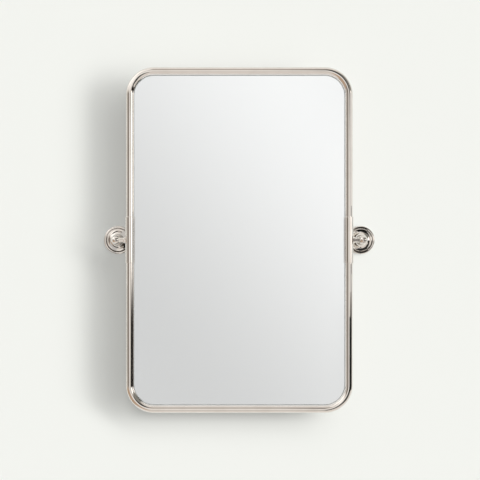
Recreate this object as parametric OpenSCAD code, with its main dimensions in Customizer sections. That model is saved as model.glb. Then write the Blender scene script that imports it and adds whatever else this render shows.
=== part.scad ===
// Pivot wall mirror: a bent-tube frame with sleeves on its side rails, hung between two turned wall brackets.
// The wall is the plane y = 0, the mirror hangs in front of it towards -Y, and z = 0 is the pivot height.

/* [Frame] */
// Width of the frame over its tubes
frame_w = 500; // [420:5:640]
// Height of the frame over its tubes
frame_h = 762; // [600:2:900]
// Outside diameter of the frame tube
tube_d = 17; // [15:0.5:20]
// Wall of the frame tube
tube_wall = 1.2; // [1:0.1:1.8]
// Radius of the corner bends, on the tube's centre line
bend_r = 53; // [40:1:80]

/* [Side sleeves] */
// Length of the sleeve on each side rail
sleeve_len = 102; // [80:1:140]
// Wall of the sleeve
sleeve_wall = 1.45; // [1.2:0.05:2]
// Rounding of the sleeve's end edges
sleeve_edge = 0.7; // [0.4:0.1:1]
// Length of the bar that joins the two tube ends inside the sleeve
joiner_len = 88; // [60:1:120]

/* [Pivots] */
// Distance of the pivot axis from the wall
pivot_out = 65; // [58:1:80]
// Distance from the sleeve's face to the knuckle's centre
arm_reach = 21.5; // [20:0.5:32]
// Diameter of the pivot pin
pin_d = 8; // [6:0.5:8.5]
// How far the pin screws into the joining bar, past the rail's centre line
pin_bite = 5; // [2:0.5:6]
// How far the pin passes the knuckle's centre
pin_past = 4; // [3:0.5:5]
// Wall of the nylon bush round the pin
bush_wall = 1.5; // [1:0.1:1.6]
// Length of the nylon bush
bush_len = 6; // [5:0.5:6.5]
// Diameter of the spacer collar on the pin
collar_d = 11; // [10.5:0.5:13]
// Diameter of the collar's foot against the sleeve
foot_d = 14.5; // [13.5:0.5:17]
// Width of that foot at its rim
foot_w = 2.6; // [2:0.2:4]
// Thickness of the nylon washer between collar and knuckle
washer_t = 1; // [0.6:0.1:2]
// How far the washer stands out past the bush
washer_rim = 0.9; // [0.7:0.1:1.2]

/* [Knuckle post] */
// Diameter of the ball that holds the pin
ball_d = 20; // [19:0.5:24]
// Diameter of the post below the ball
stem_d = 13; // [11:0.5:14]
// How much the post narrows at its waist, on the radius
waist = 1.1; // [0.6:0.1:1.6]
// Diameter of the ring where the post meets the rose
bead_d = 18.4; // [16:0.2:20]
// Height of that ring
bead_t = 3.6; // [2.6:0.2:5]
// Diameter of the thin ring under the ball
ring_d = 15.6; // [15:0.2:18]
// Height of that ring
ring_t = 2.2; // [1.6:0.2:3]
// Diameter of the spigot that centres the post in the rose
spigot_d = 12; // [10:0.5:13]
// Diameter of the screw that holds the post to the rose
post_screw_d = 6; // [5:0.5:6]
// Diameter of that screw's head
post_head_d = 10.8; // [9:0.2:12]
// Height of that head
post_head_t = 3.3; // [2.4:0.1:3.6]
// Across corners of its hexagon socket
post_socket_d = 4.8; // [4:0.2:5]
// How deep the screw goes past the post's foot ring
post_screw_past = 4; // [3:0.5:6]

/* [Wall rose] */
// Diameter of the rose
rose_d = 64; // [60:1:76]
// Height of the rose's flange off the wall
flange_t = 6; // [5.6:0.2:8]
// Rounding of the flange's front edge
flange_round = 3; // [1.5:0.1:3.6]
// Diameter of the raised step on the flange
step_d = 52; // [50:0.5:56]
// Height of that step above the flange
step_rise = 3.6; // [2.4:0.2:5]
// Rounding of the step's front edge
step_round = 2.6; // [1:0.1:3]
// Width of the groove turned round the foot of the step
groove_w = 1.8; // [1:0.1:2.2]
// Diameter of the rose's neck under the post
neck_d = 20; // [20:0.5:23]
// Height of the plain neck above the hollow curve
neck_rise = 1; // [0.6:0.2:3]
// Metal left in the rose between the screw's head and the post's spigot
rose_web = 3.4; // [2.4:0.2:5]

/* [Wall plate] */
// Diameter of the plate hidden in the rose
plate_d = 49; // [46:0.5:49]
// Thickness of the plate
plate_t = 4; // [3:0.2:4.4]
// Distance between the plate's two screw holes
screw_spacing = 32; // [28:1:34]
// Diameter of those holes
screw_hole_d = 5.2; // [4.5:0.1:5.6]
// Diameter of their countersinks
screw_sink_d = 9.6; // [8.5:0.1:10]
// Depth of the vee round the plate's rim
vee = 1.1; // [0.8:0.1:1.2]
// Distance of that vee from the wall
vee_out = 2.5; // [2.3:0.1:2.6]

/* [Glass and back] */
// Thickness of the mirror glass
glass_t = 4; // [3:0.5:6]
// Thickness of the silver coat and its paint
coat_t = 0.2; // [0.1:0.05:0.4]
// Thickness of the foam tape behind the glass
tape_t = 0.8; // [0.6:0.1:1.6]
// Width of each strip of foam tape
tape_w = 25; // [15:1:40]
// Thickness of the backing board
board_t = 5; // [3:0.5:8]
// Sheet thickness of the tray that carries the glass
tray_wall = 1.2; // [1:0.1:1.4]
// Width of the tray's flange behind the board
tray_flange = 18; // [14:0.5:26]
// Shank diameter of the tray screws
tray_screw_d = 3; // [2.5:0.1:3.5]
// Diameter of their heads
tray_head_d = 6.6; // [5.5:0.1:7.5]
// Height of their heads
tray_head_t = 1.5; // [1.2:0.1:2]
// Board left in front of the screws' tips
tray_screw_skin = 1; // [0.6:0.1:2]
// Diameter of the wall bumpers
bumper_d = 12; // [8:0.5:13]
// Thickness of the wall bumpers
bumper_t = 3; // [2:0.2:5]
// Rounding of the bumpers' edge
bumper_edge = 1.2; // [0.5:0.1:1.8]

/* [Grub screws] */
// Diameter of the grub screw in each rose
rose_grub_d = 3; // [2.5:0.1:3.2]
// Diameter of the grub screw in each knuckle
knuckle_grub_d = 4; // [3:0.1:4]

/* [Fits] */
// Radial clearance of the pin in its bush
run_gap = 0.05; // [0.02:0.01:0.09]
// Radial clearance of fixed round pieces in their holes
fit_gap = 0.05; // [0.02:0.01:0.1]
// Clearance round the glass, the plates and the sleeves
part_gap = 0.3; // [0.2:0.05:0.5]

/* [Hidden] */

$fn = 72;

// Colours of the finishes
nickel = [0.86, 0.83, 0.78];
plain_steel = [0.68, 0.69, 0.71];
nylon = [0.93, 0.92, 0.88];
glass_tint = [0.82, 0.86, 0.87];
silver = [0.78, 0.79, 0.80];
foam_white = [0.90, 0.90, 0.88];
board_brown = [0.46, 0.34, 0.23];
bumper_clear = [0.80, 0.80, 0.78];

// Over-cut that carries a hole past the face it opens on
cut = 1;

// The rail: s runs inward from the tube's centre line, t runs back from it towards the wall
tube_r = tube_d / 2;
bore_r = tube_r - tube_wall;
rail_x = frame_w / 2 - tube_r;
rail_z = frame_h / 2 - tube_r;
sleeve_r = tube_r + fit_gap + sleeve_wall;

// The two tubes stop short of each other, so that the pin passes between their ends
pin_r = pin_d / 2;
pin_room = 0.5;
tube_end_gap = pin_r + pin_room;

// The tray, coped to the back of the tube, and what lies in it
tray_side_in = 0.1;
tray_out_s = tube_r - tray_side_in - tray_wall;
tray_in_s = tray_out_s + tray_wall;
tray_front_t = sqrt(pow(tube_r, 2) - pow((tray_out_s + tray_in_s) / 2, 2));
glass_s = tray_in_s + part_gap;
glass_t0 = sqrt(pow(sleeve_r + part_gap, 2) - pow(glass_s, 2));
coat_t0 = glass_t0 + glass_t;
tape_t0 = coat_t0 + coat_t;
board_t0 = tape_t0 + tape_t;
flange_t0 = board_t0 + board_t;
tray_back_t = flange_t0 + tray_wall;
tape_count = 4;
tape_margin = 40;

// Screws through the tray's flange into the board
screw_row_s = tray_out_s + tray_flange / 2;
side_screws = 4;
end_screws = 3;
tray_screw_bite = board_t - tray_screw_skin;
head_edge = 0.45 * tray_head_t;
cross_len = 0.6 * tray_head_d;
cross_w = 0.22 * tray_head_d;

// The brackets
pivot_x = rail_x + sleeve_r + arm_reach;
ball_r = ball_d / 2;
bush_r = pin_r + run_gap + bush_wall;
washer_r = bush_r + washer_rim;
spot_r = washer_r + part_gap;
spot_x = sqrt(pow(ball_r, 2) - pow(spot_r, 2));
tip_room = 0.8;
bore_end = pin_past + tip_room;
pin_chamfer = 0.5;
pin_hole_r = pin_r + fit_gap;

// The pin's groove lies midway between the bush and the pin's tip, and the knuckle's grub screw stands in it
knuckle_grub_r = knuckle_grub_d / 2;
grub_tip_r = 0.6 * knuckle_grub_r;
groove_x = (bore_end - spot_x + bush_len) / 2;
groove_half = grub_tip_r + part_gap;
groove_depth = 1;
groove_floor_r = pin_r - groove_depth;
grub_sink = 0.3;
knuckle_grub_end = sqrt(pow(ball_r, 2) - pow(knuckle_grub_r, 2) - pow(groove_x, 2)) - grub_sink;

// The rose, where p is the distance off the wall
step_p = flange_t + step_rise;
neck_r = neck_d / 2;
cove_r = step_d / 2 - step_round - neck_r;
cove_p = step_p + cove_r;
neck_p = cove_p + neck_rise;
plate_room = 0.6;
cavity_r = plate_d / 2 + part_gap;
cavity_p = plate_t + plate_room;
head_r = post_head_d / 2;
head_room = 1;
head_play = 0.5;
pocket_r = head_r + head_room;
head_p = cavity_p + head_play;
pocket_p = head_p + post_head_t;
spigot_p = pocket_p + rose_web;
spigot_r = spigot_d / 2;
post_screw_r = post_screw_d / 2;
post_screw_end = neck_p + bead_t + post_screw_past;
post_socket_t = 0.6 * post_head_t;
bead_r = bead_d / 2;
stem_r = stem_d / 2;
ring_r = ring_d / 2;
ring_sink = 1.2;
ring_p = pivot_out - ball_r - ring_sink;
stem_p = neck_p + bead_t;
stem_half = (ring_p - stem_p) / 2;
waist_r = (pow(stem_half, 2) + pow(waist, 2)) / (2 * waist);

// The grub screw in the rose, whose cone stands in the plate's vee
rose_grub_r = rose_grub_d / 2;
plate_r = plate_d / 2;
grub_recess = 0.8;
cone_tip_r = 0.2 * rose_grub_r;
cone_h = 0.8 * rose_grub_r;

// Facets of the hexagon sockets, and of the post's long waist curve
hex_sides = 6;
waist_facets = 240;

// ---- helpers ----

// Places a right-hand piece, or its mirror image on the left
module on_side(side) {
    if (side > 0)
        children();
    else
        mirror([1, 0, 0]) children();
}

// Stands a turned piece on the wall, so that its own z axis is the distance off the wall
module off_wall() {
    rotate([90, 0, 0]) children();
}

// Lays a flat piece in the frame's plane, t behind the tube's centre line, and gives it its thickness
module slab(t, thick) {
    translate([0, -pivot_out + t + thick, 0])
        rotate([90, 0, 0])
            linear_extrude(thick) children();
}

// The frame's outline, taken in by s from the tube's centre line
module outline(s) {
    w = rail_x - s;
    h = rail_z - s;
    r = bend_r - s;
    square([2 * (w - r), 2 * h], center = true);
    square([2 * w, 2 * (h - r)], center = true);
    for (x = [-1, 1], z = [-1, 1])
        translate([x * (w - r), z * (h - r)]) circle(r);
}

// A disc profile with a rounded rim on its upper edge
module rounded_disc(r, h, round) {
    square([r - round, h]);
    square([r, h - round]);
    intersection() {
        translate([r - round, h - round]) circle(round);
        square([r, h]);
    }
}

// A disc profile with a half-round rim
module half_round_disc(r, h) {
    square([r - h / 2, h]);
    translate([r - h / 2, h / 2]) circle(h / 2);
}

// ---- frame ----

// Half of the frame: one tube bent into a U, with its ends down
module bent_tube(r) {
    straight = rail_z - bend_r - tube_end_gap;
    span = 2 * (rail_x - bend_r);
    for (side = [-1, 1]) {
        translate([side * rail_x, 0, tube_end_gap]) cylinder(r = r, h = straight);
        translate([side * (rail_x - bend_r), 0, rail_z - bend_r])
            rotate([90, side > 0 ? 0 : -90, 0])
                rotate_extrude(angle = 90)
                    translate([bend_r, 0]) circle(r);
    }
    translate([-span / 2, 0, rail_z]) rotate([0, 90, 0]) cylinder(r = r, h = span);
}

module frame_tube(up) {
    color(nickel)
        translate([0, -pivot_out, 0])
            mirror([0, 0, up > 0 ? 0 : 1])
                difference() {
                    bent_tube(tube_r);
                    bent_tube(bore_r);
                    for (side = [-1, 1])
                        translate([side * rail_x, 0, 0]) cylinder(r = bore_r, h = rail_z - bend_r);
                }
}

// The sleeve, rounded at both ends, with the hole for the pin in its outer side
module sleeve(side) {
    color(nickel)
        on_side(side)
            translate([rail_x, -pivot_out, 0])
                difference() {
                    rotate_extrude()
                        for (end = [-1, 1])
                            mirror([0, end > 0 ? 0 : 1])
                                rounded_disc(sleeve_r, sleeve_len / 2, sleeve_edge);
                    translate([0, 0, -sleeve_len / 2 - cut])
                        cylinder(r = tube_r + fit_gap, h = sleeve_len + 2 * cut);
                    rotate([0, 90, 0]) cylinder(r = pin_hole_r, h = sleeve_r + cut);
                }
}

// The solid bar inside the tube ends, tapped across for the pin
module joiner(side) {
    joiner_r = bore_r - fit_gap;
    color(plain_steel)
        on_side(side)
            translate([rail_x, -pivot_out, 0])
                difference() {
                    translate([0, 0, -joiner_len / 2]) cylinder(r = joiner_r, h = joiner_len);
                    translate([-pin_bite - fit_gap, 0, 0])
                        rotate([0, 90, 0]) cylinder(r = pin_hole_r, h = bore_r + pin_bite + cut);
                }
}

// ---- glass and back ----

module glass_tray() {
    color(nickel)
        difference() {
            slab(tray_front_t, tray_back_t - tray_front_t) outline(tray_out_s);
            slab(tray_front_t - cut, flange_t0 - tray_front_t + cut) outline(tray_in_s);
            slab(flange_t0 - cut, tray_wall + 2 * cut) outline(tray_out_s + tray_flange);
            translate([0, -pivot_out, 0])
                for (up = [0, 1])
                    mirror([0, 0, up]) bent_tube(tube_r + fit_gap);
            for (side = [-1, 1])
                translate([side * rail_x, -pivot_out, -sleeve_len / 2 - part_gap])
                    cylinder(r = sleeve_r + fit_gap, h = sleeve_len + 2 * part_gap);
            screw_places() cylinder(r = tray_screw_d / 2 + fit_gap, h = tray_wall + 2 * cut);
        }
}

module mirror_glass() {
    color(glass_tint) slab(glass_t0, glass_t) outline(glass_s);
}

module silver_coat() {
    color(silver) slab(coat_t0, coat_t) outline(glass_s);
}

module foam_tape() {
    strip_h = 2 * (rail_z - glass_s - tape_margin);
    pitch = 2 * (rail_x - glass_s - tape_margin) / tape_count;
    color(foam_white)
        slab(tape_t0, tape_t)
            for (i = [0 : tape_count - 1])
                translate([(i - (tape_count - 1) / 2) * pitch, 0]) square([tape_w, strip_h], center = true);
}

module backing_board() {
    color(board_brown)
        difference() {
            slab(board_t0, board_t) outline(glass_s);
            screw_places()
                translate([0, 0, tray_wall])
                    cylinder(r = tray_screw_d / 2 + fit_gap, h = tray_screw_bite + cut + fit_gap);
        }
}

// Puts a piece at each screw, with its z axis running forward from one over-cut behind the tray
module screw_places() {
    w = rail_x - screw_row_s;
    h = rail_z - screw_row_s;
    side_pitch = 2 * (rail_z - bend_r) / side_screws;
    end_pitch = 2 * (rail_x - bend_r) / end_screws;
    translate([0, -pivot_out + tray_back_t + cut, 0])
        rotate([90, 0, 0]) {
            for (x = [-1, 1], i = [0 : side_screws - 1])
                translate([x * w, (i - (side_screws - 1) / 2) * side_pitch, 0]) children();
            for (z = [-1, 1], i = [0 : end_screws - 1])
                translate([(i - (end_screws - 1) / 2) * end_pitch, z * h, 0]) children();
        }
}

module tray_screws() {
    color(plain_steel)
        screw_places()
            translate([0, 0, cut])
                difference() {
                    union() {
                        cylinder(r = tray_screw_d / 2, h = tray_wall + tray_screw_bite);
                        mirror([0, 0, 1])
                            rotate_extrude() rounded_disc(tray_head_d / 2, tray_head_t, head_edge);
                    }
                    for (turn = [0, 90])
                        rotate([0, 0, turn])
                            translate([0, 0, -tray_head_t])
                                cube([cross_len, cross_w, tray_head_t], center = true);
                }
}

// Bumpers on the flange's top and bottom runs, where they meet the wall before any metal does
module wall_bumpers() {
    x = rail_x - bend_r;
    z = rail_z - screw_row_s;
    color(bumper_clear)
        for (sx = [-1, 1], sz = [-1, 1])
            translate([sx * x, -pivot_out + tray_back_t, sz * z])
                rotate([-90, 0, 0])
                    rotate_extrude() rounded_disc(bumper_d / 2, bumper_t, bumper_edge);
}

// ---- wall brackets ----

// The hidden steel plate: two countersunk holes for the wall screws, and a vee round its rim
module wall_plate(side) {
    color(plain_steel)
        on_side(side)
            translate([pivot_x, 0, 0])
                off_wall()
                    difference() {
                        cylinder(r = plate_r, h = plate_t);
                        for (z = [-1, 1])
                            translate([0, z * screw_spacing / 2, 0]) {
                                translate([0, 0, -cut]) cylinder(d = screw_hole_d, h = plate_t + 2 * cut);
                                screw_sink();
                            }
                        rotate_extrude()
                            translate([plate_r, vee_out]) rotate(45) square(vee * sqrt(2), center = true);
                    }
}

// The cone of one countersink, which opens on the plate's front
module screw_sink() {
    sink_h = (screw_sink_d - screw_hole_d) / 2;
    translate([0, 0, plate_t - sink_h])
        cylinder(d1 = screw_hole_d, d2 = screw_sink_d + 2 * cut, h = sink_h + cut);
}

// The outside of the rose: flange, step, groove, neck, and the hollow curve up from the step's rounding
module rose_profile() {
    difference() {
        union() {
            rounded_disc(rose_d / 2, flange_t, flange_round);
            rounded_disc(step_d / 2, step_p, step_round);
        }
        translate([step_d / 2 + groove_w / 2, flange_t]) circle(groove_w / 2);
    }
    square([neck_r, neck_p]);
    difference() {
        translate([0, step_p - cut]) square([neck_r + cove_r, cove_r + cut]);
        translate([neck_r + cove_r, cove_p]) circle(cove_r);
    }
}

module rose(side) {
    color(nickel)
        on_side(side)
            translate([pivot_x, 0, 0])
                off_wall()
                    difference() {
                        rotate_extrude() rose_profile();
                        translate([0, 0, -cut]) cylinder(r = cavity_r, h = cavity_p + cut);
                        cylinder(r = pocket_r, h = pocket_p);
                        cylinder(r = post_screw_r + part_gap, h = spigot_p + cut);
                        translate([0, 0, spigot_p])
                            cylinder(r = spigot_r + fit_gap, h = neck_p - spigot_p + cut);
                        translate([0, 0, vee_out])
                            rotate([90, 0, 0]) cylinder(r = rose_grub_r + fit_gap, h = rose_d / 2 + cut);
                    }
}

// A grub screw along z: a cone or dog point from the origin up to its shoulder, a hexagon socket in its head
module grub(r, length, tip_r, shoulder_r, tip_h) {
    socket_r = 0.55 * r;
    socket_h = 0.4 * length;
    difference() {
        union() {
            cylinder(r1 = tip_r, r2 = shoulder_r, h = tip_h);
            translate([0, 0, tip_h]) cylinder(r = r, h = length - tip_h);
        }
        translate([0, 0, length - socket_h]) cylinder(r = socket_r, h = socket_h + cut, $fn = hex_sides);
    }
}

module rose_grub(side) {
    tip_at = plate_r - vee + part_gap;
    grub_len = rose_d / 2 - grub_recess - tip_at;
    color(plain_steel)
        on_side(side)
            translate([pivot_x, 0, 0])
                off_wall()
                    translate([0, -tip_at, vee_out])
                        rotate([90, 0, 0])
                            grub(rose_grub_r, grub_len, cone_tip_r, rose_grub_r, cone_h);
}

// The outside of the post, turned in one piece with its ball
module post_profile() {
    translate([0, spigot_p + fit_gap]) square([spigot_r, neck_p - spigot_p]);
    translate([0, neck_p]) half_round_disc(bead_r, bead_t);
    difference() {
        translate([0, stem_p - cut]) square([stem_r, pivot_out - stem_p]);
        translate([stem_r - waist + waist_r, stem_p + stem_half]) circle(waist_r, $fn = waist_facets);
    }
    translate([0, ring_p]) half_round_disc(ring_r, ring_t);
    intersection() {
        translate([0, pivot_out]) circle(ball_r);
        translate([0, pivot_out - ball_r]) square([ball_r, 2 * ball_r]);
    }
}

module post(side) {
    color(nickel)
        on_side(side)
            translate([pivot_x, 0, 0])
                difference() {
                    off_wall()
                        difference() {
                            rotate_extrude() post_profile();
                            translate([0, 0, spigot_p - cut])
                                cylinder(r = post_screw_r + fit_gap, h = post_screw_end - spigot_p + 2 * cut);
                        }
                    translate([0, -pivot_out, 0]) {
                        translate([-spot_x, 0, 0]) rotate([0, -90, 0]) cylinder(r = ball_r, h = ball_r);
                        translate([-ball_r, 0, 0])
                            rotate([0, 90, 0]) cylinder(r = bush_r + fit_gap, h = ball_r + bore_end);
                        translate([groove_x, 0, 0])
                            rotate([180, 0, 0]) cylinder(r = knuckle_grub_r + fit_gap, h = ball_r + cut);
                    }
                }
}

module post_screw(side) {
    color(plain_steel)
        on_side(side)
            translate([pivot_x, 0, 0])
                off_wall()
                    difference() {
                        union() {
                            translate([0, 0, head_p]) cylinder(r = head_r, h = post_head_t);
                            cylinder(r = post_screw_r, h = post_screw_end);
                        }
                        translate([0, 0, -cut]) cylinder(r = head_r + cut, h = head_p + cut);
                        cylinder(d = post_socket_d, h = head_p + post_socket_t, $fn = hex_sides);
                    }
}

// ---- pivots ----

module pivot_bush(side) {
    color(nylon)
        on_side(side)
            translate([pivot_x - spot_x, -pivot_out, 0])
                rotate([0, 90, 0])
                    difference() {
                        cylinder(r = bush_r, h = bush_len);
                        translate([0, 0, -cut]) cylinder(r = pin_r + run_gap, h = bush_len + 2 * cut);
                    }
}

module knuckle_grub(side) {
    tip_at = groove_floor_r + part_gap;
    color(plain_steel)
        on_side(side)
            translate([pivot_x + groove_x, -pivot_out, -tip_at])
                rotate([180, 0, 0])
                    grub(knuckle_grub_r, knuckle_grub_end - tip_at, grub_tip_r, grub_tip_r, groove_depth);
}

module pivot_washer(side) {
    color(nylon)
        on_side(side)
            translate([pivot_x - spot_x - washer_t, -pivot_out, 0])
                rotate([0, 90, 0])
                    difference() {
                        cylinder(r = washer_r, h = washer_t);
                        translate([0, 0, -cut]) cylinder(r = pin_hole_r, h = washer_t + 2 * cut);
                    }
}

// The spacer on the pin: a plain barrel, and a foot that is coped to the round of the sleeve
module pivot_collar(side) {
    barrel = arm_reach + sleeve_r - spot_x - washer_t;
    rim_at = sleeve_r + 0.4 * foot_w;
    foot_edge = 0.45 * foot_w;
    color(nickel)
        on_side(side)
            translate([rail_x, -pivot_out, 0])
                difference() {
                    rotate([0, 90, 0])
                        rotate_extrude() {
                            square([collar_d / 2, barrel]);
                            translate([0, rim_at - foot_w]) rounded_disc(foot_d / 2, 2 * foot_w, foot_edge);
                        }
                    translate([0, 0, -foot_d]) cylinder(r = sleeve_r + fit_gap, h = 2 * foot_d);
                    rotate([0, 90, 0]) cylinder(r = pin_hole_r, h = barrel + cut);
                }
}

// The pin: screwed into the joining bar at one end, with a groove for the knuckle's grub screw at the other
module pivot_pin(side) {
    groove_at = pivot_x + groove_x - rail_x;
    tip_at = pivot_x + pin_past - rail_x;
    color(plain_steel)
        on_side(side)
            translate([rail_x, -pivot_out, 0])
                rotate([0, 90, 0])
                    rotate_extrude()
                        difference() {
                            translate([0, -pin_bite]) square([pin_r, pin_bite + tip_at]);
                            translate([groove_floor_r, groove_at - groove_half])
                                square([pin_r, 2 * groove_half]);
                            translate([pin_r, tip_at])
                                rotate(45) square(pin_chamfer * sqrt(2), center = true);
                        }
}

wall_plate(-1);  // wall_plate_left
wall_plate(1);  // wall_plate_right
rose(-1);  // rose_left
rose(1);  // rose_right
rose_grub(-1);  // rose_grub_left
rose_grub(1);  // rose_grub_right
post(-1);  // post_left
post(1);  // post_right
post_screw(-1);  // post_screw_left
post_screw(1);  // post_screw_right
pivot_bush(-1);  // pivot_bush_left
pivot_bush(1);  // pivot_bush_right
knuckle_grub(-1);  // knuckle_grub_left
knuckle_grub(1);  // knuckle_grub_right
pivot_washer(-1);  // pivot_washer_left
pivot_washer(1);  // pivot_washer_right
pivot_collar(-1);  // pivot_collar_left
pivot_collar(1);  // pivot_collar_right
pivot_pin(-1);  // pivot_pin_left
pivot_pin(1);  // pivot_pin_right
sleeve(-1);  // sleeve_left
sleeve(1);  // sleeve_right
joiner(-1);  // joiner_left
joiner(1);  // joiner_right
frame_tube(1);  // frame_tube_upper
frame_tube(-1);  // frame_tube_lower
glass_tray();
mirror_glass();
silver_coat();
foam_tape();
backing_board();
tray_screws();
wall_bumpers();
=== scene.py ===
import math
import bpy
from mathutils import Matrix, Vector


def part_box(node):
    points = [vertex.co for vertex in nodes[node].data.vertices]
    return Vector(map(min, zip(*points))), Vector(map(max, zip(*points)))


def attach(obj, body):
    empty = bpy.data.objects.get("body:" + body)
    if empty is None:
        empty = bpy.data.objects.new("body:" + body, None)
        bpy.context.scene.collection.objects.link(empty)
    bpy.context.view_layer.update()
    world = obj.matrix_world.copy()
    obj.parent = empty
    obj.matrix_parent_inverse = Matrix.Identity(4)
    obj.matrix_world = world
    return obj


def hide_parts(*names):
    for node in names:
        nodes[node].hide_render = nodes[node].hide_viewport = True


# Pivot wall mirror. The wall is y = 0, the viewer stands at -Y, z = 0 is the pivot height.

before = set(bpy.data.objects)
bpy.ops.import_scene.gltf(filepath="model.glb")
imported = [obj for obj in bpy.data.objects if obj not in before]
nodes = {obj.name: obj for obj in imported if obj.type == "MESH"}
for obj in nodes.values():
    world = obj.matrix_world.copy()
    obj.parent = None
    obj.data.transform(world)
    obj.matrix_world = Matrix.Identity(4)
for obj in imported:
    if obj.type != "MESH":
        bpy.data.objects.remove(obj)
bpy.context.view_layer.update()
print("frame loaded:", len(nodes), "nodes")


viewpoint = {
    "distance": 2.78,  # camera to wall
    "aside": 0.0015,
    "height": 0.0,  # level with the pivots
    "fieldWidth": 1.058,  # what the picture takes in, at the mirror
    "filmWidth": 36.0,
    "mirrorOut": 0.065,  # the mirror's plane off the wall
}


def makeCamera():
    v = viewpoint
    data = bpy.data.cameras.new("camera")
    data.sensor_width = v["filmWidth"]
    data.lens = v["filmWidth"] * (v["distance"] - v["mirrorOut"]) / v["fieldWidth"]
    camera = bpy.data.objects.new("camera", data)
    bpy.context.scene.collection.objects.link(camera)
    camera.location = (v["aside"], -v["distance"], v["height"])
    camera.rotation_euler = (math.radians(90), 0, 0)
    bpy.context.scene.camera = camera


makeCamera()
print("camera placed")


# The nodes of one material or of the world, with short ways to add and join them
class NodeTree:
    def __init__(self, tree):
        self.tree = tree
        self.tree.nodes.clear()

    def add(self, kind, inputs=None, **settings):
        node = self.tree.nodes.new(kind)
        for name, value in settings.items():
            setattr(node, name, value)
        for key, value in (inputs or {}).items():
            self.feed(node.inputs[key], value)
        return node

    def feed(self, socket, value):
        if isinstance(value, bpy.types.NodeSocket):
            self.tree.links.new(value, socket)
        else:
            socket.default_value = value

    def place(self):
        return self.add("ShaderNodeTexCoord").outputs["Object"]

    def facing(self):
        # from -1, out of the wall, to 1, towards it
        return self.xyz(self.add("ShaderNodeTexCoord").outputs["Normal"])[1]

    def xyz(self, vector):
        return self.add("ShaderNodeSeparateXYZ", {"Vector": vector}).outputs

    def math(self, operation, a, b=None, c=None):
        node = self.add("ShaderNodeMath", operation=operation)
        for place, value in enumerate((a, b, c)):
            if value is not None:
                self.feed(node.inputs[place], value)
        return node.outputs[0]

    def product(self, first, *others):
        for other in others:
            first = self.math("MULTIPLY", first, other)
        return first

    def total(self, first, *others):
        for other in others:
            first = self.math("ADD", first, other)
        return first

    def atLeast(self, depth, count):
        # 1 for a ray that has had so many bounces of one kind
        return self.math("GREATER_THAN", depth, count - 0.5)

    def fewerThan(self, depth, count):
        return self.math("LESS_THAN", depth, count - 0.5)

    def remap(self, value, start, end, low, high, **settings):
        return self.add("ShaderNodeMapRange", {
            "Value": value, "From Min": start, "From Max": end, "To Min": low, "To Max": high,
        }, **settings).outputs["Result"]

    def fade(self, value, start, end, low=0.0, high=1.0):
        # a smooth step from low to high while value goes from start to end
        return self.remap(value, start, end, low, high, interpolation_type="SMOOTHSTEP")

    def within(self, value, low, high, deep):
        # 0 at low and at high, and 1 from that deep inside on
        return self.product(self.fade(value, low, low + deep), self.fade(value, high, high - deep))

    def mixColour(self, factor, a, b):
        node = self.add("ShaderNodeMix", data_type="RGBA")
        self.feed(node.inputs["Factor"], factor)
        self.feed(node.inputs["A"], a)
        self.feed(node.inputs["B"], b)
        return [out for out in node.outputs if out.type == "RGBA"][0]

    def greyFrom(self, level):
        return self.add("ShaderNodeCombineColor", {
            "Red": level, "Green": level, "Blue": level}).outputs["Color"]

    def noise(self, vector, scale, detail=2.0, roughness=0.5):
        return self.add("ShaderNodeTexNoise", {
            "Vector": vector, "Scale": scale, "Detail": detail, "Roughness": roughness,
        }).outputs["Fac"]

    def stretched(self, vector, scale):
        return self.add("ShaderNodeMapping", {"Vector": vector, "Scale": scale}).outputs["Vector"]

    def bump(self, height, depth, strength=1.0, normal=None):
        node = self.add("ShaderNodeBump", {"Height": height, "Distance": depth, "Strength": strength})
        if normal is not None:
            self.feed(node.inputs["Normal"], normal)
        return node.outputs["Normal"]


def grey(level):
    return (level, level, level, 1.0)


def newMaterial(name):
    material = bpy.data.materials.new(name)
    material.use_nodes = True
    tree = NodeTree(material.node_tree)
    shader = tree.add("ShaderNodeBsdfPrincipled")
    out = tree.add("ShaderNodeOutputMaterial")
    tree.feed(out.inputs["Surface"], shader.outputs["BSDF"])
    return material, tree, shader, out


# In the finishes an "Edge" says between which noise values a mark fades in, and four numbers say
# from which value to which, and what comes of it, from and to.

nickelFinish = {
    "colour": (0.86, 0.82, 0.783, 1.0),
    "dullColour": (0.74, 0.695, 0.645, 1.0),  # where a thin film of tarnish sits
    "dullShare": 0.35,
    "filmScale": 22.0,
    "filmEdge": (0.42, 0.72),
    "roughness": (0.25, 0.75, 0.022, 0.055),
    "speckScale": 240.0,
    "speckRoughness": (0.62, 0.74, 0.0, 0.04),
    "fineScale": 9000.0,  # polishing lines, fine and coarse
    "coarseScale": 1600.0,
    "coarseHeight": 1.5,
    "coarseRoughness": 0.02,
    "alongTube": 0.02,  # how much slower they change along a tube than across it
    "lineDepth": 0.0000012,
    "waveScale": 55.0,  # the long soft waves a buffing wheel leaves
    "waveDepth": 0.000010,
}

# Tarnish and painted shade in the rose's groove: tarnish where no polishing wheel gets, and painted shade in
# the recess, darker towards the bottom
grooveTarnishAndShade = {
    "colour": (0.24, 0.21, 0.185, 1.0),
    "fromAxis": (0.0246, 0.0252, 0.0276, 0.0281),  # where it starts, is full, is full to, and ends
    "offWall": 0.011,  # its reach off the wall
    "patches": (0.2, 0.6, 0.8, 1.0),
    "downwards": (0.014, -0.01, 0.5, 1.0),  # painted shade: less of it in the groove's upper half, darker towards the bottom
    "roughness": 0.2,
}

pivotPlace = {"x": 0.273, "out": 0.065}


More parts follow.
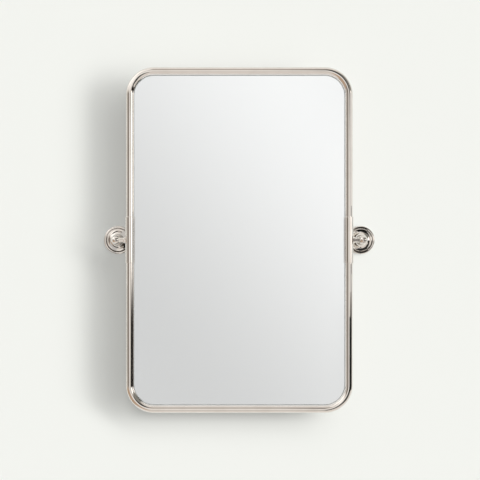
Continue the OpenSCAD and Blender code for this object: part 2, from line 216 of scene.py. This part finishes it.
def polishLines(tree, kind):
    # a vector that runs fast across the polishing lines and slowly along them
    if kind == "tube":
        straight = tree.add("ShaderNodeAttribute", attribute_name="straightTube").outputs["Vector"]
        return tree.stretched(straight, (1.0, 1.0, nickelFinish["alongTube"]))
    x, y, z = tree.xyz(tree.place())
    if kind == "wallTurned":  # turned about an axis off the wall, one on each side
        across, along = tree.math("SUBTRACT", tree.math("ABSOLUTE", x), pivotPlace["x"]), y
    else:  # turned about the pivot axis
        across, along = tree.total(y, pivotPlace["out"]), x
    radius = tree.math("SQRT", tree.total(tree.product(across, across), tree.product(z, z)))
    return tree.add("ShaderNodeCombineXYZ", {"X": radius, "Y": along}).outputs["Vector"]


def grooveMask(tree, lines, film, up):
    g = grooveTarnishAndShade
    radius, along = tree.xyz(lines)[:2]
    start, full, fullEnd, end = g["fromAxis"]
    return tree.product(
        tree.fade(radius, start, full), tree.fade(radius, end, fullEnd),
        tree.math("GREATER_THAN", along, -g["offWall"]),
        tree.fade(film, *g["patches"]), tree.fade(up, *g["downwards"]))


def polishedNickel(name, kind):
    f = nickelFinish
    material, tree, shader, out = newMaterial(name)
    where = tree.place()
    lines = polishLines(tree, kind)
    fine = tree.noise(lines, f["fineScale"], 3.0, 0.6)
    coarse = tree.noise(lines, f["coarseScale"])
    film = tree.noise(where, f["filmScale"], 4.0, 0.6)
    specks = tree.noise(where, f["speckScale"], 5.0, 0.7)
    dull = tree.product(tree.fade(film, *f["filmEdge"]), f["dullShare"])
    colour = tree.mixColour(dull, f["colour"], f["dullColour"])
    rough = tree.remap(film, *f["roughness"])
    if kind == "wallTurned":
        # the groove's tarnish and painted shade, darker towards the bottom
        groove = grooveMask(tree, lines, film, tree.xyz(where)[2])
        colour = tree.mixColour(groove, colour, grooveTarnishAndShade["colour"])
        rough = tree.math("MULTIPLY_ADD", groove, grooveTarnishAndShade["roughness"], rough)
    tree.feed(shader.inputs["Base Color"], colour)
    shader.inputs["Metallic"].default_value = 1.0
    tree.feed(shader.inputs["Roughness"], tree.total(
        rough, tree.fade(specks, *f["speckRoughness"]), tree.product(coarse, f["coarseRoughness"])))
    height = tree.total(fine, tree.product(coarse, f["coarseHeight"]))
    waves = tree.bump(tree.noise(where, f["waveScale"], 1.0), f["waveDepth"])
    tree.feed(shader.inputs["Normal"], tree.bump(height, f["lineDepth"], normal=waves))
    return material


steelFinish = {
    "colour": (0.50, 0.51, 0.53, 1.0),
    "blueTint": (0.42, 0.45, 0.52, 1.0),
    "patchScale": 160.0,
    "patchEdge": (0.35, 0.7),
    "roughness": (0.3, 0.7, 0.22, 0.42),
    "grainScale": 2600.0,
    "grainDepth": 0.000008,
}


def zincSteel(name):
    f = steelFinish
    material, tree, shader, out = newMaterial(name)
    where = tree.place()
    patches = tree.noise(where, f["patchScale"], 4.0, 0.6)
    grain = tree.noise(where, f["grainScale"], 3.0, 0.6)
    tree.feed(shader.inputs["Base Color"], tree.mixColour(
        tree.fade(patches, *f["patchEdge"]), f["colour"], f["blueTint"]))
    shader.inputs["Metallic"].default_value = 1.0
    tree.feed(shader.inputs["Roughness"], tree.remap(patches, *f["roughness"]))
    tree.feed(shader.inputs["Normal"], tree.bump(grain, f["grainDepth"]))
    return material


nylonFinish = {
    "colour": (0.84, 0.82, 0.74, 1.0),
    "shade": (0.74, 0.71, 0.62, 1.0),
    "cloudScale": 300.0,
    "roughness": (0.3, 0.7, 0.37, 0.52),
    "lightInside": 0.3,  # share of the light that runs under the skin
    "lightReach": (0.002, 0.0018, 0.0014),  # and how far, for red, green and blue
    "grainScale": 3500.0,
    "grainDepth": 0.000006,
}


def naturalNylon(name):
    f = nylonFinish
    material, tree, shader, out = newMaterial(name)
    where = tree.place()
    cloud = tree.noise(where, f["cloudScale"], 3.0)
    tree.feed(shader.inputs["Base Color"], tree.mixColour(cloud, f["colour"], f["shade"]))
    tree.feed(shader.inputs["Roughness"], tree.remap(cloud, *f["roughness"]))
    shader.inputs["Subsurface Weight"].default_value = f["lightInside"]
    shader.inputs["Subsurface Radius"].default_value = f["lightReach"]
    tree.feed(shader.inputs["Normal"], tree.bump(tree.noise(where, f["grainScale"]), f["grainDepth"]))
    return material


glassFinish = {
    "colour": (0.985, 0.992, 0.988, 1.0),
    "edgeColour": (0.86, 0.93, 0.90, 1.0),  # the ground edge, where the light has run far in the glass
    "edgeFacing": (0.98, 0.9),
    "edgeRoughness": 0.35,
    "smearScale": 9.0,
    "smearStretch": (1.0, 1.0, 0.35),
    "smearRoughness": (0.5, 0.75, 0.0, 0.006),
    "refraction": 1.52,
    "waveScale": 14.0,
    "waveDepth": 0.0000008,
}


def clearGlass(name):
    f = glassFinish
    material, tree, shader, out = newMaterial(name)
    where = tree.place()
    rim = tree.fade(tree.math("ABSOLUTE", tree.facing()), *f["edgeFacing"])
    smear = tree.noise(tree.stretched(where, f["smearStretch"]), f["smearScale"], 4.0, 0.55)
    tree.feed(shader.inputs["Base Color"], tree.mixColour(rim, f["colour"], f["edgeColour"]))
    tree.feed(shader.inputs["Roughness"], tree.total(
        tree.fade(smear, *f["smearRoughness"]), tree.product(rim, f["edgeRoughness"])))
    shader.inputs["Transmission Weight"].default_value = 1.0
    shader.inputs["IOR"].default_value = f["refraction"]
    tree.feed(shader.inputs["Normal"], tree.bump(tree.noise(where, f["waveScale"], 1.0), f["waveDepth"]))
    return material


silverFinish = {
    "colour": (0.93, 0.935, 0.935, 1.0),
    "paint": (0.16, 0.165, 0.17, 1.0),  # the grey paint that guards the silver's back
    "paintFacing": (-0.9, -0.5),
    "paintRoughness": 0.55,
    "brushMarks": 0.7,  # how bright the paint's brush marks are beside it
    "brushScale": 90.0,
    "brushStretch": (1.0, 1.0, 0.1),
}


def silverCoat(name):
    f = silverFinish
    material, tree, shader, out = newMaterial(name)
    painted = tree.fade(tree.facing(), *f["paintFacing"])
    marks = tree.noise(tree.stretched(tree.place(), f["brushStretch"]), f["brushScale"], 3.0)
    darker = [f["brushMarks"] * part for part in f["paint"][:3]]
    paint = tree.mixColour(marks, f["paint"], (*darker, 1.0))
    tree.feed(shader.inputs["Base Color"], tree.mixColour(painted, f["colour"], paint))
    tree.feed(shader.inputs["Metallic"], tree.math("SUBTRACT", 1.0, painted))
    tree.feed(shader.inputs["Roughness"], tree.product(painted, f["paintRoughness"]))
    return material


foamFinish = {
    "colour": (0.80, 0.80, 0.77, 1.0),
    "pore": (0.60, 0.60, 0.57, 1.0),
    "poreSize": 0.0004,
    "poreEdge": (0.5, 0.1),
    "poreDepth": 0.0001,
    "roughness": 0.9,
}


def closedFoam(name):
    f = foamFinish
    material, tree, shader, out = newMaterial(name)
    cells = tree.add("ShaderNodeTexVoronoi", {
        "Vector": tree.place(), "Scale": 1.0 / f["poreSize"]}).outputs["Distance"]
    tree.feed(shader.inputs["Base Color"], tree.mixColour(
        tree.fade(cells, *f["poreEdge"]), f["colour"], f["pore"]))
    shader.inputs["Roughness"].default_value = f["roughness"]
    tree.feed(shader.inputs["Normal"], tree.bump(cells, f["poreDepth"]))
    return material


boardFinish = {
    "colour": (0.205, 0.120, 0.062, 1.0),
    "fibre": (0.110, 0.062, 0.032, 1.0),
    "fibreScale": 900.0,
    "fibreStretch": (1.0, 1.0, 0.25),
    "fibreEdge": (0.4, 0.72),
    "fibreDepth": 0.00005,
    "light": (0.300, 0.190, 0.105, 1.0),
    "lightScale": 26.0,
    "lightShare": (0.5, 0.75, 0.0, 0.5),
    "roughness": (0.3, 0.7, 0.6, 0.85),
    "screenPitch": 0.0016,  # the mesh that fibreboard is pressed on leaves its print in the back
    "screenDepth": 0.00012,
    "screenStrength": 0.8,
}


def pressedBoard(name):
    f = boardFinish
    material, tree, shader, out = newMaterial(name)
    where = tree.place()
    fibres = tree.noise(tree.stretched(where, f["fibreStretch"]), f["fibreScale"], 5.0, 0.7)
    clouds = tree.noise(where, f["lightScale"], 4.0, 0.6)
    x, y, z = tree.xyz(where)
    step = 2.0 * math.pi / f["screenPitch"]
    weft, warp = [tree.math("SINE", tree.product(place, step)) for place in (x, z)]
    screen = tree.math("ABSOLUTE", tree.product(weft, warp))
    brown = tree.mixColour(tree.fade(fibres, *f["fibreEdge"]), f["colour"], f["fibre"])
    brown = tree.mixColour(tree.fade(clouds, *f["lightShare"]), brown, f["light"])
    tree.feed(shader.inputs["Base Color"], brown)
    tree.feed(shader.inputs["Roughness"], tree.remap(fibres, *f["roughness"]))
    pressed = tree.bump(screen, f["screenDepth"], f["screenStrength"])
    tree.feed(shader.inputs["Normal"], tree.bump(fibres, f["fibreDepth"], normal=pressed))
    return material


bumperFinish = {
    "colour": (0.86, 0.86, 0.83, 1.0),
    "dust": (0.7, 0.68, 0.62, 1.0),
    "dustScale": 500.0,
    "dustShare": (0.5, 0.8, 0.0, 0.4),
    "dustDepth": 0.00001,
    "roughness": (0.3, 0.7, 0.12, 0.3),
    "clearness": 0.75,
    "refraction": 1.47,
}


def clearBumper(name):
    f = bumperFinish
    material, tree, shader, out = newMaterial(name)
    dust = tree.noise(tree.place(), f["dustScale"], 4.0, 0.6)
    tree.feed(shader.inputs["Base Color"], tree.mixColour(
        tree.fade(dust, *f["dustShare"]), f["colour"], f["dust"]))
    tree.feed(shader.inputs["Roughness"], tree.remap(dust, *f["roughness"]))
    shader.inputs["Transmission Weight"].default_value = f["clearness"]
    shader.inputs["IOR"].default_value = f["refraction"]
    tree.feed(shader.inputs["Normal"], tree.bump(dust, f["dustDepth"]))
    return material


tubeNickel = polishedNickel("tubeNickel", "tube")
wallTurnedNickel = polishedNickel("wallTurnedNickel", "wallTurned")
pivotTurnedNickel = polishedNickel("pivotTurnedNickel", "pivotTurned")
zinc = zincSteel("zincSteel")
nylon = naturalNylon("naturalNylon")
glass = clearGlass("clearGlass")
silver = silverCoat("silverCoat")
foam = closedFoam("closedFoam")
board = pressedBoard("pressedBoard")
bumper = clearBumper("clearBumper")
print("finishes made")


# By how the frame's node names start, and the longest start that fits counts
nodeFinish = {
    "rose_": wallTurnedNickel,
    "post_": wallTurnedNickel,
    "pivot_collar_": pivotTurnedNickel,
    "sleeve_": wallTurnedNickel,
    "frame_tube_": wallTurnedNickel,
    "glass_tray": wallTurnedNickel,
    "wall_plate_": zinc,
    "rose_grub_": zinc,
    "post_screw_": zinc,
    "knuckle_grub_": zinc,
    "pivot_pin_": zinc,
    "joiner_": zinc,
    "tray_screws": zinc,
    "pivot_bush_": nylon,
    "pivot_washer_": nylon,
    "mirror_glass": glass,
    "silver_coat": silver,
    "foam_tape": foam,
    "backing_board": board,
    "wall_bumpers": bumper,
}


def finishOf(nodeName):
    fits = [start for start in nodeFinish if nodeName.startswith(start)]
    return nodeFinish[max(fits, key=len)]


for nodeName, node in nodes.items():
    for place in node.material_slots:
        place.material = finishOf(nodeName)
print("finishes given to the frame's pieces")


def newPiece(name, verts, faces, material, sharpAngle=35.0):
    mesh = bpy.data.meshes.new(name)
    mesh.from_pydata(verts, [], faces)
    mesh.update()
    mesh.shade_smooth()
    mesh.set_sharp_from_angle(angle=math.radians(sharpAngle))
    mesh.materials.append(material)
    piece = bpy.data.objects.new(name, mesh)
    bpy.context.scene.collection.objects.link(piece)
    return piece


def bridge(a, b, turned=False):
    # the faces between two rings of points
    faces = []
    for i in range(len(a)):
        j = (i + 1) % len(a)
        faces.append((a[i], b[i], b[j], a[j]) if turned else (a[i], a[j], b[j], b[i]))
    return faces


# The two bent tubes. Each is one U from rail to rail, and the lower one stands on its head.
tubeShape = {"wall": 0.0012, "bendRadius": 0.053, "aroundSteps": 96, "bendSteps": 40, "straightStep": 0.012}


def tubePath(radius, halfWidth, top, end):
    # points and outward directions of one U, from its left end over the top to its right end
    t = tubeShape
    railX, railZ, bend = halfWidth - radius, top - radius, t["bendRadius"]
    path = []

    def straight(start, stop, outward):
        count = max(2, int((stop - start).length / t["straightStep"]))
        path.extend((start.lerp(stop, i / count), outward) for i in range(count))

    def turn(centre, fromAngle):
        for i in range(t["bendSteps"]):
            angle = math.radians(fromAngle - 90.0 * i / t["bendSteps"])
            outward = Vector((math.cos(angle), 0, math.sin(angle)))
            path.append((centre + bend * outward, outward))

    left, up, right = Vector((-1, 0, 0)), Vector((0, 0, 1)), Vector((1, 0, 0))
    straight(Vector((-railX, 0, end)), Vector((-railX, 0, railZ - bend)), left)
    turn(Vector((-railX + bend, 0, railZ - bend)), 180.0)
    straight(Vector((-railX + bend, 0, railZ)), Vector((railX - bend, 0, railZ)), up)
    turn(Vector((railX - bend, 0, railZ - bend)), 90.0)
    straight(Vector((railX, 0, railZ - bend)), Vector((railX, 0, end)), right)
    path.append((Vector((railX, 0, end)), right))
    return path


def bentTube(name, nodeName):
    t = tubeShape
    low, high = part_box(nodeName)
    radius = (high.y - low.y) / 2
    middle = (high.y + low.y) / 2
    flip = 1 if high.z > -low.z else -1
    path = tubePath(radius, high.x, max(high.z, -low.z), min(abs(high.z), abs(low.z)))
    count = t["aroundSteps"]
    verts, straightened, rings = [], [], []
    for ringRadius in (radius, radius - t["wall"]):
        travelled, before = 0.0, path[0][0]
        for point, outward in path:
            travelled += (point - before).length
            before = point
            rings.append([len(verts) + i for i in range(count)])
            for i in range(count):
                angle = 2 * math.pi * i / count
                c, s = ringRadius * math.cos(angle), ringRadius * math.sin(angle)
                spot = point + c * outward
                verts.append((spot.x, middle + s, flip * spot.z))
                straightened.append((c, s, travelled))
    outer, inner = rings[:len(path)], rings[len(path):]
    faces = []
    for k in range(len(path) - 1):
        faces += bridge(outer[k + 1], outer[k], flip < 0) + bridge(inner[k], inner[k + 1], flip < 0)
    faces += bridge(outer[0], inner[0], flip < 0) + bridge(inner[-1], outer[-1], flip < 0)
    piece = newPiece(name, verts, faces, tubeNickel)
    straight = piece.data.attributes.new("straightTube", "FLOAT_VECTOR", "POINT")
    straight.data.foreach_set("vector", [value for spot in straightened for value in spot])
    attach(piece, "mirror")
    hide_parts(nodeName)


bentTube("bentTubeUpper", "frame_tube_upper")
bentTube("bentTubeLower", "frame_tube_lower")
print("tubes bent")


paneShape = {
    "cornerRadius": 0.0443,
    "cornerSteps": 24,
    "arris": 0.0003,  # the ground-off edge of the pane
    "silverBite": 0.00002,  # the silver lies in the pane's back face, with no air between
}


def roundedOutline(halfWidth, halfHeight, radius):
    steps = paneShape["cornerSteps"]
    points = []
    for cornerX, cornerZ, start in ((1, 1, 0), (-1, 1, 90), (-1, -1, 180), (1, -1, 270)):
        for i in range(steps + 1):
            angle = math.radians(start + 90.0 * i / steps)
            points.append((cornerX * (halfWidth - radius) + radius * math.cos(angle),
                           cornerZ * (halfHeight - radius) + radius * math.sin(angle)))
    return points


def pane(name, nodeName, front, back, arris, material):
    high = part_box(nodeName)[1]
    layers = [(front, 0.0), (back, 0.0)]
    if arris:
        layers = [(front, arris), (front + arris, 0.0), (back - arris, 0.0), (back, arris)]
    verts, rings = [], []
    for y, inset in layers:
        outline = roundedOutline(high.x - inset, high.z - inset, paneShape["cornerRadius"] - inset)
        # counted backwards, so that the faces round the edge look outwards
        rings.append([len(verts) + i for i in reversed(range(len(outline)))])
        verts.extend((x, y, z) for x, z in outline)
    faces = [tuple(reversed(rings[0]))]
    for nearer, further in zip(rings, rings[1:]):
        faces += bridge(nearer, further)
    faces.append(tuple(rings[-1]))
    piece = newPiece(name, verts, faces, material)
    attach(piece, "mirror")
    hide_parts(nodeName)


def makePane():
    arris, bite = paneShape["arris"], paneShape["silverBite"]
    glassLow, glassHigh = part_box("mirror_glass")
    silverLow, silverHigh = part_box("silver_coat")
    pane("glassPane", "mirror_glass", glassLow.y, glassHigh.y, arris, glass)
    pane("silvering", "silver_coat", silverLow.y - bite, silverHigh.y, 0.0, silver)


makePane()
print("pane and silver laid")


def stageSheet(name, corners, material):
    sheet = newPiece(name, corners, [(0, 1, 2, 3)], material)
    return sheet


def hideFrom(thing, *rays):
    for ray in rays:
        setattr(thing, "visible_" + ray, False)


def frontOnly(tree, shader, out):
    # the sheet can be looked through from its back
    through = tree.add("ShaderNodeBsdfTransparent")
    mix = tree.add("ShaderNodeMixShader")
    tree.feed(mix.inputs[0], tree.add("ShaderNodeNewGeometry").outputs["Backfacing"])
    tree.feed(mix.inputs[1], shader.outputs["BSDF"])
    tree.feed(mix.inputs[2], through.outputs["BSDF"])
    tree.feed(out.inputs["Surface"], mix.outputs["Shader"])


wallFinish = {
    "colour": (0.896, 0.905, 0.863, 1.0),
    "cloud": 0.86,
    "cloudScale": 3.0,
    "cloudShare": (0.3, 0.7, 0.0, 0.02),
    "bounced": 0.12,  # dark to its own light, so that it doesn't light itself by way of the metal
    "roughness": 0.9,
    "glow": 0.455,  # share of the wall's brightness that no shadow takes away
    "paintedShadeBehindMirror": (-0.268, 0.20, -0.421, 0.383, 0.07),  # painted shade behind the mirror and just below the frame: left, right, low, high, and how far in it is deep
    "glowLeft": (0.02, 0.35),  # share of the glow left there, below and above the pivots
    "glowTurns": (-0.10, 0.15),  # the heights between which it goes from the one to the other
}


def wallPaint(name):
    # seen from its front only, so that the object's back shows in views from behind
    f = wallFinish
    material, tree, shader, out = newMaterial(name)
    where = tree.place()
    cloud = tree.fade(tree.noise(where, f["cloudScale"], 3.0), *f["cloudShare"])
    again = tree.atLeast(tree.add("ShaderNodeLightPath").outputs["Diffuse Depth"], 1)
    colour = tree.mixColour(cloud, f["colour"], grey(f["cloud"]))
    colour = tree.mixColour(again, colour, grey(f["bounced"]))
    tree.feed(shader.inputs["Base Color"], tree.mixColour(f["glow"], colour, grey(0.0)))
    # painted shade: the glow is taken away between the mirror and the wall and just below the frame, since
    # little of the room's light gets in there, and most of it is taken away below the pivots
    left, right, low, high, deep = f["paintedShadeBehindMirror"]
    x, y, z = tree.xyz(where)
    taken = tree.fade(z, *f["glowTurns"], *[1.0 - share for share in f["glowLeft"]])
    shade = tree.product(tree.within(x, left, right, deep), tree.within(z, low, high, deep), taken)
    tree.feed(shader.inputs["Emission Color"], tree.mixColour(shade, colour, grey(0.0)))
    shader.inputs["Emission Strength"].default_value = f["glow"]
    shader.inputs["Roughness"].default_value = f["roughness"]
    shader.inputs["Specular IOR Level"].default_value = 0.0
    frontOnly(tree, shader, out)
    return material


room = {
    "wallWidth": 9.0,
    "floorDown": 1.35,  # the pivots' height above the floor
    "floorDepth": 4.5,
}


def makeRoom():
    paint = wallPaint("wallPaint")
    side, down, deep = room["wallWidth"] / 2, -room["floorDown"], -room["floorDepth"]
    wall = stageSheet("wall", [
        (-side, 0, down), (side, 0, down), (side, 0, side), (-side, 0, side)], paint)
    floor = stageSheet("floor", [
        (-side, deep, down), (side, deep, down), (side, 0, down), (-side, 0, down)], paint)
    hideFrom(wall, "shadow", "diffuse")
    hideFrom(floor, "shadow", "diffuse", "glossy", "transmission")


keyLight = {
    "level": 0.835,  # how much of the light on the wall the lamps give
    # a leaning row of lamps on the right: azimuth, elevation, spread and share of the light
    "lamps": ((56, -28, 18, 0.04), (55, -10, 16, 0.12), (61, 0, 15, 0.18), (56, 10, 15, 0.27),
              (50, 20, 15, 0.14), (42, 30, 16, 0.15), (28, 42, 18, 0.10)),
}


def makeKeyLight():
    for azimuth, height, spread, share in keyLight["lamps"]:
        a, e = math.radians(azimuth), math.radians(height)
        towards = Vector((math.sin(a) * math.cos(e), -math.cos(a) * math.cos(e), math.sin(e)))
        sun = bpy.data.lights.new(f"keyLight_{azimuth}", "SUN")
        sun.energy = share * keyLight["level"] * math.pi / -towards.y
        sun.angle = math.radians(spread)
        lamp = bpy.data.objects.new(sun.name, sun)
        bpy.context.scene.collection.objects.link(lamp)
        lamp.rotation_mode = "QUATERNION"
        lamp.rotation_quaternion = towards.to_track_quat("Z", "Y")
        hideFrom(lamp, "glossy", "transmission", "camera")


# Small cards close to the mirror, which only polished metal sees, and which paint reflections of dark and
# light onto it: left, right, y, low, high, brightness
nearCards = {
    "flagOverRightRose": (0.262, 0.330, -0.0775, 0.024, 0.076, 0.012),
    "flagUnderRightRose": (0.262, 0.330, -0.0775, -0.076, -0.024, 0.03),
    "stripOverLeftRose": (-0.345, -0.283, -0.0775, 0.054, 0.094, 0.04),
    "darkUnderLeftRose": (-0.480, -0.275, -0.0775, -0.30, -0.10, 0.07),
    "paleUnderLeftRose": (-0.420, -0.285, -0.0775, -0.098, -0.026, 0.55),
    "darkBehindLeftRail": (-0.262, -0.170, -0.022, -0.021, 0.000, 0.01),
    "paleBehindLeftRail": (-0.262, -0.150, -0.022, 0.010, 0.08, 0.60),
    "paleBesideRightRail": (0.256, 0.290, -0.090, 0.053, 0.33, 0.80),
    "paleBelowRightRail": (0.256, 0.290, -0.090, -0.115, -0.053, 0.70),
    "blackBelowRightRail": (0.263, 0.320, -0.160, -0.36, -0.175, 0.02),
}
cardTint = (1.0, 0.985, 0.965)


def makeNearCards():
    for name, (left, right, y, low, high, level) in nearCards.items():
        material, tree, shader, out = newMaterial(name)
        shader.inputs["Base Color"].default_value = grey(0.0)
        shader.inputs["Specular IOR Level"].default_value = 0.0
        shader.inputs["Emission Color"].default_value = (*[share * level for share in cardTint], 1.0)
        shader.inputs["Emission Strength"].default_value = 1.0
        frontOnly(tree, shader, out)  # its front is towards the wall
        card = stageSheet(name, [
            (left, y, high), (right, y, high), (right, y, low), (left, y, low)], material)
        hideFrom(card, "camera", "diffuse", "transmission", "shadow")


# What polished metal sees of the studio: patches of soft light and dark by direction, in degrees
# (left, right, low, high, softness, colour)
studioPatches = [
    (-125, -9, 15, 72, 6, (1.02, 0.99, 0.95)),  # white above on the left
    (-200, 200, 62, 100, 5, (0.88, 0.85, 0.81)),  # ceiling
    (-10, 14, 20, 54, 4, (0.48, 0.44, 0.40)),  # dimmer over the camera
    (14, 118, 13, 50, 3, (0.25, 0.245, 0.22)),  # grey above on the right
    (-200, 200, -100, -46, 6, (0.80, 0.75, 0.70)),  # floor
    (-8, 8, -46, -28, 3, (0.62, 0.58, 0.54)),
    (-122, -12, -48, -9, 5, (0.50, 0.37, 0.27)),  # brown below on the left
    (-118, -52, -9, 12, 4, (0.55, 0.52, 0.48)),  # grey on the left
    (-52, -21, -9, 10, 3, (0.17, 0.14, 0.115)),  # dark gap in it
    (-105, -45, 24, 60, 6, (1.35, 1.32, 1.27)),  # white card
    (-26, -11, 10, 22, 2, (1.3, 1.26, 1.2)),  # and a small one
    (-25, -12, 26, 31, 2, (0.10, 0.09, 0.08)),  # flag over it
    (-12, 14, -12, 10, 3, (0.95, 0.93, 0.90)),  # straight ahead
    (19, 39, -3, 12, 3, (0.60, 0.55, 0.50)),  # beside the soft box
    (41, 64, -3, 12, 2, (1.9, 1.85, 1.78)),  # the soft box
    (66, 118, -3, 12, 3, (0.85, 0.83, 0.80)),  # the room beyond it
    (74, 110, -1.1, 1.1, 0.4, (0.42, 0.41, 0.40)),  # a dim line in it, which gives the left sleeve its edge
    (4, 30, 6, 38, 3, (0.04, 0.04, 0.04)),  # flag up on the right
    (8, 56, -34, -8, 3, (0.07, 0.07, 0.065)),  # dark below on the right
    (34, 130, -16, -2, 2, (0.015, 0.014, 0.013)),  # black under the soft box
    (5, 9.5, -40, -3, 1, (0.03, 0.03, 0.03)),  # the camera's stand
]
betweenPatches = (0.74, 0.70, 0.65, 1.0)

# What the mirror sees: one long soft ramp, from grey low on the left to white high on the right
mirrorSees = {"bright": 1.03, "dark": 0.675, "middle": 0.467, "towardsRight": 3.22, "upwards": 2.53}

# What the frame's inner sides see in the glass beside them, but for the dark left rail
besideGlass = {
    "level": 0.95,
    "offLeftRail": (0.0, 5.0),  # this and the next two are in degrees
    "sleeveUpTo": (1.4, 0.9),
    "sleeveFrom": (6.0, 9.0),
    "sleeveLevel": 0.52,
}

# The room's even light on all that isn't polished
fillLight = {
    "dim": 0.02,  # from the left and below
    "bright": 0.40,  # and from the right and above
    "dimToBright": (-0.6, 1.0),
    "behind": 0.8,  # behind the wall, where only the object's back sees it
    "behindEdge": (0.0, 0.3),
}


def studioSeen(tree, azimuth, elevation):
    seen = betweenPatches
    for left, right, low, high, soft, colour in studioPatches:
        mask = tree.product(tree.within(azimuth, left - soft, right + soft, 2 * soft),
                            tree.within(elevation, low - soft, high + soft, 2 * soft))
        seen = tree.mixColour(mask, seen, (*colour, 1.0))
    return seen


def roomInMirror(tree, x, z):
    m = mirrorSees
    slope = tree.math("MULTIPLY_ADD", x, m["towardsRight"], tree.math(
        "MULTIPLY_ADD", z, m["upwards"], m["middle"]))
    return tree.greyFrom(tree.fade(slope, 0.0, 1.0, m["dark"], m["bright"]))


def evenLight(tree, ray, x, y, z):
    f = fillLight
    fill = tree.fade(tree.total(x, z), *f["dimToBright"], f["dim"], f["bright"])
    # the light behind the wall is for what is looked at, and not for what shows in the roses
    behind = tree.product(tree.fewerThan(ray["Glossy Depth"], 1),
                          tree.fade(y, *f["behindEdge"], 0.0, f["behind"]))
    return tree.greyFrom(tree.math("MAXIMUM", fill, behind))


def makeWorld():
    world = bpy.data.worlds.new("studio")
    bpy.context.scene.world = world
    world.use_nodes = True
    tree = NodeTree(world.node_tree)
    ray = tree.add("ShaderNodeLightPath").outputs
    x, y, z = tree.xyz(tree.add("ShaderNodeTexCoord").outputs["Generated"])
    degrees = 180.0 / math.pi
    azimuth = tree.product(tree.math("ARCTAN2", x, tree.product(y, -1.0)), degrees)
    elevation = tree.product(tree.math("ARCSINE", z), degrees)

    b = besideGlass
    upOrDown = tree.math("ABSOLUTE", elevation)
    inGlass = tree.product(ray["Is Transmission Ray"], tree.fewerThan(ray["Glossy Depth"], 2))
    beside = tree.product(tree.atLeast(ray["Glossy Depth"], 2), tree.atLeast(ray["Transmission Depth"], 2))
    byRail = tree.product(beside, tree.fade(tree.math("SUBTRACT", upOrDown, azimuth), *b["offLeftRail"]))
    bySleeve = tree.product(beside, tree.fade(upOrDown, *b["sleeveUpTo"]),
                            tree.fade(tree.math("ABSOLUTE", azimuth), *b["sleeveFrom"]))
    seen = tree.mixColour(inGlass, studioSeen(tree, azimuth, elevation), roomInMirror(tree, x, z))
    seen = tree.mixColour(byRail, seen, grey(b["level"]))
    seen = tree.mixColour(bySleeve, seen, grey(b["sleeveLevel"]))

    shiny = tree.math("MAXIMUM", ray["Is Glossy Ray"], ray["Is Transmission Ray"])
    shown = tree.product(shiny, tree.fewerThan(ray["Diffuse Depth"], 1))
    colour = tree.mixColour(shown, evenLight(tree, ray, x, y, z), seen)
    colour = tree.mixColour(ray["Is Camera Ray"], colour, wallFinish["colour"])
    back = tree.add("ShaderNodeBackground", {"Color": colour, "Strength": 1.0})
    tree.feed(tree.add("ShaderNodeOutputWorld").inputs["Surface"], back.outputs["Background"])


makeRoom()
makeKeyLight()
makeNearCards()
makeWorld()
bpy.context.scene.view_settings.view_transform = "Standard"
print("room and light ready")
